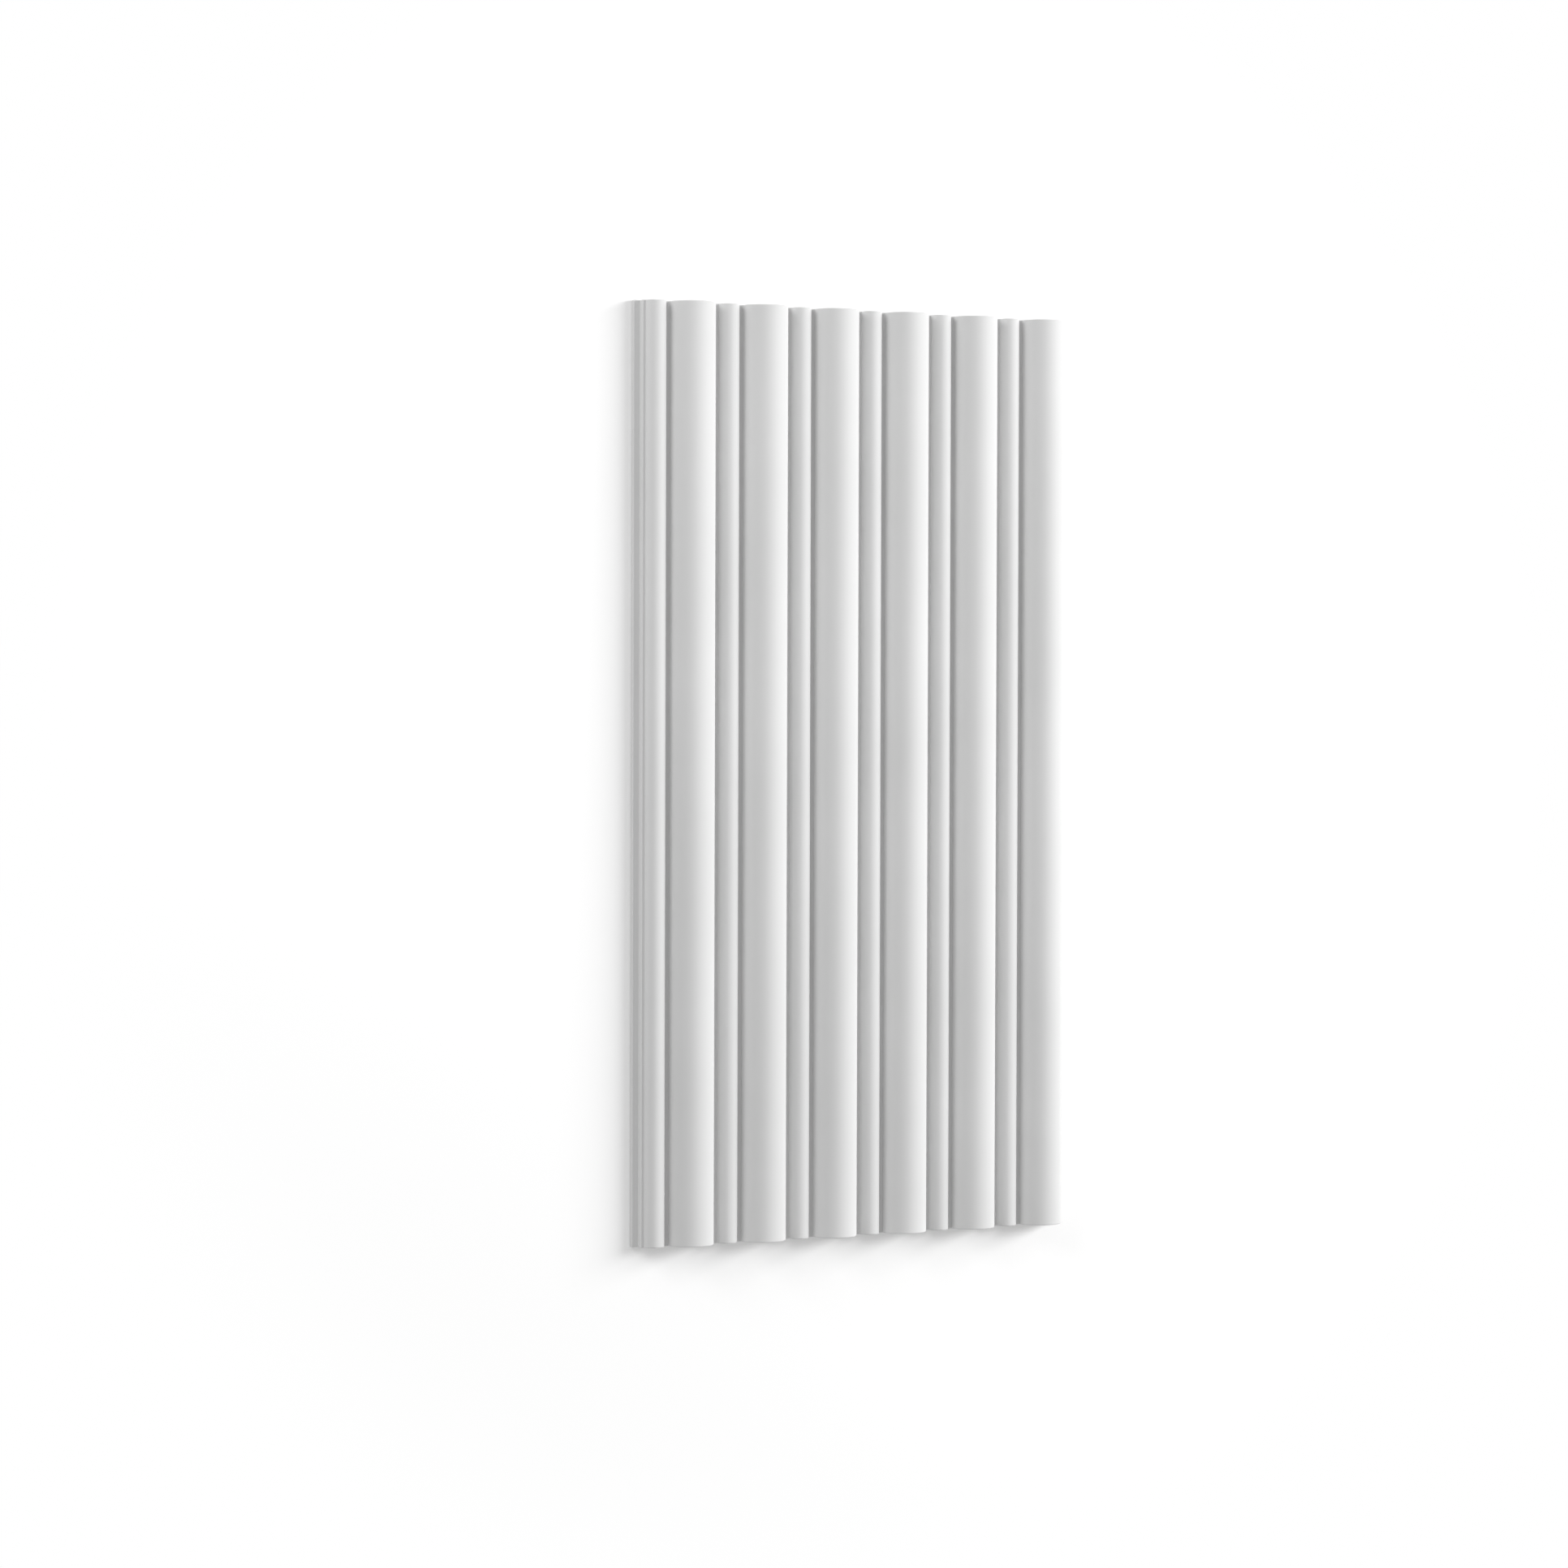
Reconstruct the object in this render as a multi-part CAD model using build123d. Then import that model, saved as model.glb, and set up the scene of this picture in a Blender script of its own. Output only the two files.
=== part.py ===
"""Fluted wall panel: a moulded strip of wide and narrow half-round reeds with a lap joint on its long edges.

The panel lies flat on its back. X runs across the reeds, Y along them and Z out of the face.
The origin is under the middle of the panel, on the plane of its back. All sizes are in millimetres.
"""

import os
from math import sqrt

from build123d import *

# Driving dimensions
length = 480.0  # along the reeds
pair_count = 6  # narrow and wide reeds alternate, with a narrow one first at the left edge
wide_reed_width = 25.15
wide_reed_height = 11.1  # above the floor of the grooves
narrow_reed_width = 11.25
narrow_reed_height = 5.3
groove_width = 2.65  # flat floor between two reeds, half of it at each long edge
web_thickness = 7.5  # back of the panel to the floor of the grooves

tongue_reach = 3.3  # how far the tongue goes under the neighbouring panel
tongue_thickness = 3.7
tongue_bevel = 0.9  # along the tongue's foot, where it slides into the neighbour's rebate
lap_clearance = 0.3  # play around the tongue inside the neighbour's rebate

end_arris = 0.6  # bevel that takes the sharpness off the face at both ends

# Places across the panel
pair_pitch = narrow_reed_width + wide_reed_width + 2 * groove_width
overall_width = tongue_reach + pair_count * pair_pitch
tip_x = -overall_width / 2
left_joint_x = tip_x + tongue_reach
right_joint_x = overall_width / 2
rebate_x = right_joint_x - tongue_reach - lap_clearance
rebate_height = tongue_thickness + lap_clearance


def reeds():
    """Left foot, width and height of every reed, from the left edge to the right."""
    for pair in range(pair_count):
        narrow_x = left_joint_x + groove_width / 2 + pair * pair_pitch
        wide_x = narrow_x + narrow_reed_width + groove_width
        yield narrow_x, narrow_reed_width, narrow_reed_height
        yield wide_x, wide_reed_width, wide_reed_height


def reed_arc(foot_x, width, height, inset):
    """The rounded back of one reed, foot to foot, drawn in by the inset."""
    radius = (width**2 / 4 + height**2) / (2 * height)
    axis_z = web_thickness + height - radius
    floor_z = web_thickness - inset
    half_width = sqrt((radius - inset) ** 2 - (floor_z - axis_z) ** 2)
    middle_x = foot_x + width / 2
    return ThreePointArc(
        (middle_x - half_width, floor_z),
        (middle_x, axis_z + radius - inset),
        (middle_x + half_width, floor_z),
    )


def section(inset):
    """The closed outline across the panel, with its face drawn in by the inset and its back left as it is."""
    arcs = [reed_arc(foot_x, width, height, inset) for foot_x, width, height in reeds()]
    grooves = [Line(left @ 1, right @ 0) for left, right in zip(arcs, arcs[1:])]
    tongue_edge = Polyline(
        (tip_x + tongue_bevel, 0),
        (tip_x + inset, tongue_bevel),
        (tip_x + inset, tongue_thickness - inset),
        (left_joint_x + inset, tongue_thickness - inset),
        (left_joint_x + inset, web_thickness - inset),
        arcs[0] @ 0,
    )
    rebate_edge = Polyline(
        arcs[-1] @ 1,
        (right_joint_x - inset, web_thickness - inset),
        (right_joint_x - inset, rebate_height),
        (rebate_x, rebate_height),
        (rebate_x, 0),
        (tip_x + tongue_bevel, 0),
    )
    return make_face(tongue_edge.edges() + arcs + grooves + rebate_edge.edges())


def panel():
    """The section run along the panel, with the face bevelled at both ends."""
    straight = length / 2 - end_arris
    run = extrude(Plane.XZ * section(0), amount=straight, both=True)
    end = loft(
        [Plane.XZ.offset(straight) * section(0), Plane.XZ.offset(length / 2) * section(end_arris)],
        ruled=True,
    )
    return run + end + mirror(end, about=Plane.XZ)


os.makedirs("parts", exist_ok=True)
export_step(panel(), "parts/fluted_panel.step")
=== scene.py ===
from math import acos, cos, pi, radians, sin, tan

import bpy
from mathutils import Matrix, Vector


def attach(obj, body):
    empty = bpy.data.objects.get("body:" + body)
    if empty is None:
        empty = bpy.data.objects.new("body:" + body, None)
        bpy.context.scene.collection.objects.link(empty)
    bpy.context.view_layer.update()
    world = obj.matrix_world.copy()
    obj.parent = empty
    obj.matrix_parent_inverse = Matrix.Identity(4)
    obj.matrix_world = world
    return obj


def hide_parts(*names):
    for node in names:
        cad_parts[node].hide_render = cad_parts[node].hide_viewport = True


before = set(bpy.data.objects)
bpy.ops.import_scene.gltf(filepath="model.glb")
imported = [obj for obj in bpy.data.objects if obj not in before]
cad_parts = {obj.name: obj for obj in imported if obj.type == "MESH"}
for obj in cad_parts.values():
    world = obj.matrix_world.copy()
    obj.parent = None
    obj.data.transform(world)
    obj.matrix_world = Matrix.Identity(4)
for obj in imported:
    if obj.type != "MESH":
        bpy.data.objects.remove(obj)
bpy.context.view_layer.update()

# Fluted panel: one length of hard white foam plastic. The die leaves the reeds, the flat grooves between
# them, the tongue on the left edge and the rebate under the right edge. The face is primed white, the back is
# left bare, and both ends are sawn across and rubbed round along the face. Sizes are in millimetres.
millimetre = 0.001
length = 480.0
pair_count = 6
wide_reed = (25.15, 11.1)  # width, and height above the floor of the grooves
narrow_reed = (11.25, 5.3)
groove_width = 2.65
web_thickness = 7.5  # back of the panel to the floor of the grooves
tongue_reach = 3.3
tongue_thickness = 3.7
tongue_bevel = 0.9
lap_clearance = 0.3
end_arris = 0.6  # how far the reeds and grooves are rubbed round at both ends
edge_arris = 0.2  # the same on the long edges
crease_radius = 0.1
arris_radius = 0.3
reed_steps = 40
corner_steps = 4
end_steps = 5
sharp_fold = radians(35)  # faces that meet at a larger turn keep a crisp edge

pair_pitch = wide_reed[0] + narrow_reed[0] + 2 * groove_width
overall_width = tongue_reach + pair_count * pair_pitch
tip_x = -overall_width / 2
left_joint_x = tip_x + tongue_reach
right_joint_x = overall_width / 2
rebate_x = right_joint_x - tongue_reach - lap_clearance
rebate_height = tongue_thickness + lap_clearance


def reed_corners(foot_x, width, height):
    """Corners along the rounded back of one reed, each as x, z, corner radius and rounding at the ends."""
    radius = (width**2 / 4 + height**2) / (2 * height)
    axis_z = web_thickness + height - radius
    half_turn = acos((radius - height) / radius)
    corners = []
    for step in range(reed_steps + 1):
        turn = half_turn * (2 * step / reed_steps - 1)
        at_foot = step in (0, reed_steps)
        x = foot_x + width / 2 + radius * sin(turn)
        corners.append((x, axis_z + radius * cos(turn), crease_radius if at_foot else 0.0, end_arris))
    return corners


def section_corners():
    """Corners of the whole section, from the foot of the tongue over the face to the back of the rebate."""
    corners = [
        (tip_x + tongue_bevel, 0.0, 0.0, 0.0),
        (tip_x, tongue_bevel, 0.0, edge_arris),
        (tip_x, tongue_thickness, arris_radius, edge_arris),
        (left_joint_x, tongue_thickness, crease_radius, edge_arris),
        (left_joint_x, web_thickness, arris_radius, edge_arris),
    ]
    for pair in range(pair_count):
        narrow_x = left_joint_x + groove_width / 2 + pair * pair_pitch
        wide_x = narrow_x + narrow_reed[0] + groove_width
        corners += reed_corners(narrow_x, *narrow_reed)
        corners += reed_corners(wide_x, *wide_reed)
    corners += [
        (right_joint_x, web_thickness, arris_radius, edge_arris),
        (right_joint_x, rebate_height, crease_radius, 0.0),
        (rebate_x, rebate_height, crease_radius, 0.0),
        (rebate_x, 0.0, crease_radius, 0.0),
    ]
    return corners


def softened(corners):
    """The section's outline with every corner that has a radius turned into a short curve."""
    most_of_side = 0.45  # a curve takes no larger share of the straight stretch beside it
    outline = []
    for index, (x, z, radius, rounding) in enumerate(corners):
        here = Vector((x, z))
        back = Vector(corners[index - 1][:2]) - here
        ahead = Vector(corners[(index + 1) % len(corners)][:2]) - here
        if radius == 0.0:
            outline.append((here, rounding))
            continue
        half_angle = back.angle(ahead) / 2
        reach = min(radius / tan(half_angle), most_of_side * back.length, most_of_side * ahead.length)
        back, ahead = back.normalized(), ahead.normalized()
        centre = here + (back + ahead).normalized() * reach / cos(half_angle)
        start = here + back * reach - centre
        stop = here + ahead * reach - centre
        for step in range(corner_steps + 1):
            point = centre + start.slerp(stop, step / corner_steps) * start.length
            outline.append((point, rounding))
    return outline


def inward(outline):
    """The way into the material at every point of the outline, longer at a corner to keep its sides even."""
    sharpest = 0.5  # cosine of half the turn, past which the way grows no longer
    ways = []
    for index, (point, _) in enumerate(outline):
        before = (point - outline[index - 1][0]).normalized()
        after = (outline[(index + 1) % len(outline)][0] - point).normalized()
        along = (before + after).normalized()
        ways.append(Vector((along.y, -along.x)) / max(along.dot(before), sharpest))
    return ways


outline = softened(section_corners())
ways_in = inward(outline)
rings = []
for side in (-1, 1):
    turns = [pi / 2 * step / end_steps for step in range(end_steps + 1)]
    for turn in turns if side > 0 else reversed(turns):
        y = side * (length / 2 - end_arris * (1 - sin(turn)))
        ring = []
        for (point, rounding), way in zip(outline, ways_in):
            drawn_in = point + way * rounding * (1 - cos(turn))
            ring.append((drawn_in.x * millimetre, y * millimetre, drawn_in.y * millimetre))
        rings.append(ring)

points_round = len(outline)
last_ring = (len(rings) - 1) * points_round
faces = []
for this_ring in range(0, last_ring, points_round):
    next_ring = this_ring + points_round
    for point in range(points_round):
        ahead = (point + 1) % points_round
        faces.append((this_ring + point, this_ring + ahead, next_ring + ahead, next_ring + point))
lower_end = tuple(reversed(range(points_round)))
upper_end = tuple(range(last_ring, last_ring + points_round))
faces += [lower_end, upper_end]

panel_mesh = bpy.data.meshes.new("primed_panel")
panel_mesh.from_pydata([corner for ring in rings for corner in ring], [], faces)
panel_mesh.validate()
panel_mesh.shade_smooth()
panel_mesh.set_sharp_from_angle(angle=sharp_fold)
for sawn_end in panel_mesh.polygons[-2:]:
    sawn_end.use_smooth = False
panel = bpy.data.objects.new("primed_panel", panel_mesh)
bpy.context.scene.collection.objects.link(panel)

primer_colours = ((0.685, 0.686, 0.684), (0.713, 0.713, 0.712))
back_colours = ((0.69, 0.687, 0.675), (0.73, 0.727, 0.716))
end_colours_and_painted_cell_shade = ((0.74, 0.737, 0.727), (0.6, 0.597, 0.585))  # middle of a foam cell, then its rim, darker as painted shade in the low rims between the cells
primer_roughness = (0.58, 0.72)
back_roughness = (0.66, 0.78)
end_roughness = (0.76, 0.88)
cloud_size = 70.0
stipple_size = 0.7
die_line_width = 1.5
die_line_stretch = 200  # length over width
saw_line_width = 0.9
saw_line_stretch = 40
cell_size = 0.5
stipple_height = 0.005
primed_line_height = 0.006
bare_line_height = 0.03
cell_height = 0.07
saw_line_height = 0.04
nearly_square = 0.9  # how square a face stands to the back or the ends when their finish sets in
fully_square = 0.99
grain_span = (0.3, 0.7)  # soft grain stays mostly within this
cell_span = (0.1, 0.7)  # from near the middle of a cell to its rim, in cell sizes

primer = bpy.data.materials.new("white primer on hard foam")
primer.use_nodes = True
nodes, links = primer.node_tree.nodes, primer.node_tree.links
coat = nodes["Principled BSDF"]
coat.inputs["IOR"].default_value = 1.45
coat.inputs["Specular IOR Level"].default_value = 0.3
on_panel = nodes.new("ShaderNodeTexCoord")


def grain(size, stretch=(1, 1, 1), detail=2.0):
    """Soft random grain of a size in millimetres, drawn out along X, Y or Z by the stretch."""
    drawn_out = nodes.new("ShaderNodeMapping")
    drawn_out.inputs["Scale"].default_value = [1 / (size * millimetre * way) for way in stretch]
    links.new(on_panel.outputs["Object"], drawn_out.inputs["Vector"])
    noise = nodes.new("ShaderNodeTexNoise")
    noise.inputs["Scale"].default_value = 1.0
    noise.inputs["Detail"].default_value = detail
    links.new(drawn_out.outputs["Vector"], noise.inputs["Vector"])
    return noise.outputs["Fac"]


def spread(value, span, results):
    """The value, with the two ends of its span brought to two other numbers."""
    ramp = nodes.new("ShaderNodeMapRange")
    ramp.inputs["From Min"].default_value, ramp.inputs["From Max"].default_value = span
    ramp.inputs["To Min"].default_value, ramp.inputs["To Max"].default_value = results
    links.new(value, ramp.inputs["Value"])
    return ramp.outputs["Result"]


def relief(value, low, high):
    """Relief in metres, between two heights in millimetres, as the value goes from 0 to 1."""
    return spread(value, (0.0, 1.0), (low * millimetre, high * millimetre))


def tones(value, span, colours):
    """A colour between two, with the first at one end of the value's span and the second at the other."""
    ramp = nodes.new("ShaderNodeValToRGB")
    for stop, position, colour in zip(ramp.color_ramp.elements, span, colours):
        stop.position = position
        stop.color = (*colour, 1)
    links.new(value, ramp.inputs["Fac"])
    return ramp.outputs["Color"]


def change(kind, mask, before, after):
    """A colour or a number that goes over from one finish to another where the mask is set."""
    mix = nodes.new("ShaderNodeMix")
    mix.data_type = kind
    ports = [port for port in mix.inputs if port.enabled]
    for source, port in zip((mask, before, after), ports):
        links.new(source, port)
    return next(port for port in mix.outputs if port.enabled)


def joined(kind, left, right):
    """Two numbers added or multiplied."""
    sums = nodes.new("ShaderNodeMath")
    sums.operation = kind
    links.new(left, sums.inputs[0])
    links.new(right, sums.inputs[1])
    return sums.outputs["Value"]


facing = nodes.new("ShaderNodeSeparateXYZ")
links.new(on_panel.outputs["Normal"], facing.inputs["Vector"])
on_back = spread(facing.outputs["Z"], (-nearly_square, -fully_square), (0.0, 1.0))
endways = joined("MULTIPLY", facing.outputs["Y"], facing.outputs["Y"])
on_end = spread(endways, (nearly_square, fully_square), (0.0, 1.0))

clouds = grain(cloud_size, detail=3.0)
stipple = grain(stipple_size)
die_lines = grain(die_line_width, stretch=(1, die_line_stretch, 1))
saw_lines = grain(saw_line_width, stretch=(saw_line_stretch, 1, 1), detail=1.0)
cells = nodes.new("ShaderNodeTexVoronoi")
cells.inputs["Scale"].default_value = 1 / (cell_size * millimetre)
links.new(on_panel.outputs["Object"], cells.inputs["Vector"])
off_middle = cells.outputs["Distance"]

primed = tones(clouds, grain_span, primer_colours)
bare_back = tones(die_lines, grain_span, back_colours)
# The sawn end darkens towards each cell's rim, where its relief is lowest: painted shade in the hollows
# between the foam cells.
bare_end_with_painted_cell_shade = tones(off_middle, cell_span, end_colours_and_painted_cell_shade)
colour = change("RGBA", on_end, change("RGBA", on_back, primed, bare_back), bare_end_with_painted_cell_shade)
links.new(colour, coat.inputs["Base Color"])

primed_gloss = spread(stipple, (0.0, 1.0), primer_roughness)
back_gloss = spread(die_lines, (0.0, 1.0), back_roughness)
end_gloss = spread(saw_lines, (0.0, 1.0), end_roughness)
gloss = change("FLOAT", on_end, change("FLOAT", on_back, primed_gloss, back_gloss), end_gloss)
links.new(gloss, coat.inputs["Roughness"])

primed_relief = joined("ADD", relief(stipple, 0, stipple_height), relief(die_lines, 0, primed_line_height))
back_relief = relief(die_lines, 0, bare_line_height)
end_relief = joined("ADD", relief(off_middle, cell_height, 0), relief(saw_lines, 0, saw_line_height))
height = change("FLOAT", on_end, change("FLOAT", on_back, primed_relief, back_relief), end_relief)
bump = nodes.new("ShaderNodeBump")
bump.inputs["Distance"].default_value = 1.0
links.new(height, bump.inputs["Height"])
links.new(bump.outputs["Normal"], coat.inputs["Normal"])

panel_mesh.materials.append(primer)
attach(panel, "root")
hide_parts("fluted_panel")

# Floor: a plain white sheet under the panel. It takes the panel's shadow, and away from the panel it shows as
# plain white. Sizes are in metres, and both reaches are measured from the middle of the panel.
floor_size = 12.0
floor_tone = 0.82
floor_lift = 0.18  # added where the sheet is seen, so that it shows white around the shadow
shaded_reach = 0.28
white_reach = 0.46
edge = floor_size / 2
floor_mesh = bpy.data.meshes.new("floor")
floor_corners = [(-edge, -edge, 0), (edge, -edge, 0), (edge, edge, 0), (-edge, edge, 0)]
floor_mesh.from_pydata(floor_corners, [], [(0, 1, 2, 3)])
floor = bpy.data.objects.new("floor", floor_mesh)
bpy.context.scene.collection.objects.link(floor)


def seen_directly(tree, dark, bright):
    """A value that is bright for camera, mirror and glass rays, and dark for light that falls on things."""
    light_path = tree.nodes.new("ShaderNodeLightPath")
    rays = light_path.outputs["Is Camera Ray"]
    for kind in ("Is Glossy Ray", "Is Transmission Ray"):
        either = tree.nodes.new("ShaderNodeMath")
        either.operation = "MAXIMUM"
        tree.links.new(rays, either.inputs[0])
        tree.links.new(light_path.outputs[kind], either.inputs[1])
        rays = either.outputs["Value"]
    level = tree.nodes.new("ShaderNodeMapRange")
    level.inputs["To Min"].default_value = dark
    level.inputs["To Max"].default_value = bright
    tree.links.new(rays, level.inputs["Value"])
    return level.outputs["Result"]


sheet = bpy.data.materials.new("white sheet")
sheet.use_nodes = True
sheet_nodes, sheet_links = sheet.node_tree.nodes, sheet.node_tree.links
paper = sheet_nodes["Principled BSDF"]
paper.inputs["Base Color"].default_value = (floor_tone, floor_tone, floor_tone, 1)
paper.inputs["Roughness"].default_value = 0.9
paper.inputs["Specular IOR Level"].default_value = 0.0
glow = sheet_nodes.new("ShaderNodeEmission")
sheet_links.new(seen_directly(sheet.node_tree, 0.0, floor_lift), glow.inputs["Strength"])
shaded = sheet_nodes.new("ShaderNodeAddShader")
sheet_links.new(paper.outputs["BSDF"], shaded.inputs[0])
sheet_links.new(glow.outputs["Emission"], shaded.inputs[1])

on_floor = sheet_nodes.new("ShaderNodeTexCoord")
distance = sheet_nodes.new("ShaderNodeVectorMath")
distance.operation = "LENGTH"
sheet_links.new(on_floor.outputs["Object"], distance.inputs[0])
far_off = sheet_nodes.new("ShaderNodeMapRange")
far_off.interpolation_type = "SMOOTHSTEP"
far_off.inputs["From Min"].default_value = shaded_reach
far_off.inputs["From Max"].default_value = white_reach
sheet_links.new(distance.outputs["Value"], far_off.inputs["Value"])
sheet_links.new(seen_directly(sheet.node_tree, 0.0, 1.0), far_off.inputs["To Max"])
plain_white = sheet_nodes.new("ShaderNodeEmission")
fading = sheet_nodes.new("ShaderNodeMixShader")
sheet_links.new(far_off.outputs["Result"], fading.inputs["Fac"])
sheet_links.new(shaded.outputs["Shader"], fading.inputs[1])
sheet_links.new(plain_white.outputs["Emission"], fading.inputs[2])
sheet_links.new(fading.outputs["Shader"], sheet_nodes["Material Output"].inputs["Surface"])
floor_mesh.materials.append(sheet)

# Light: a tall soft key lamp on the right towards the panel's upper end, a small low fill on the left, and an
# even white surround. Lamp sizes and places are in metres, and powers in watts.
surround_light = 0.44
surround_seen = 1.0
scene = bpy.context.scene
scene.view_settings.view_transform = "Standard"
world = bpy.data.worlds.new("surround")
scene.world = world
world.use_nodes = True
surround = world.node_tree.nodes["Background"]
surround.inputs["Color"].default_value = (1, 1, 1, 1)
surround_level = seen_directly(world.node_tree, surround_light, surround_seen)
world.node_tree.links.new(surround_level, surround.inputs["Strength"])


def lamp(name, place, width, tallness, power):
    """A soft rectangular lamp, turned towards the middle of the panel."""
    data = bpy.data.lights.new(name, "AREA")
    data.shape = "RECTANGLE"
    data.size = width
    data.size_y = tallness
    data.energy = power
    stand = bpy.data.objects.new(name, data)
    stand.location = place
    stand.rotation_mode = "QUATERNION"
    stand.rotation_quaternion = (-Vector(place)).to_track_quat("-Z", "Y")
    scene.collection.objects.link(stand)


lamp("key", place=(2.9, 0.8, 2.0), width=1.0, tallness=2.5, power=129)
lamp("fill", place=(-1.45, 0.9, 0.75), width=0.8, tallness=0.8, power=10)

# Camera: looks down on the panel from its left, nearly square to its length.
camera = bpy.data.objects.new("camera", bpy.data.cameras.new("camera"))
camera.data.sensor_width = 36.0
camera.data.lens = 97.95
camera.location = (-1.07742, 0.02832, 1.9454)
camera.rotation_euler = (-0.01674, -0.49062, 0.00312)
scene.collection.objects.link(camera)
scene.camera = camera
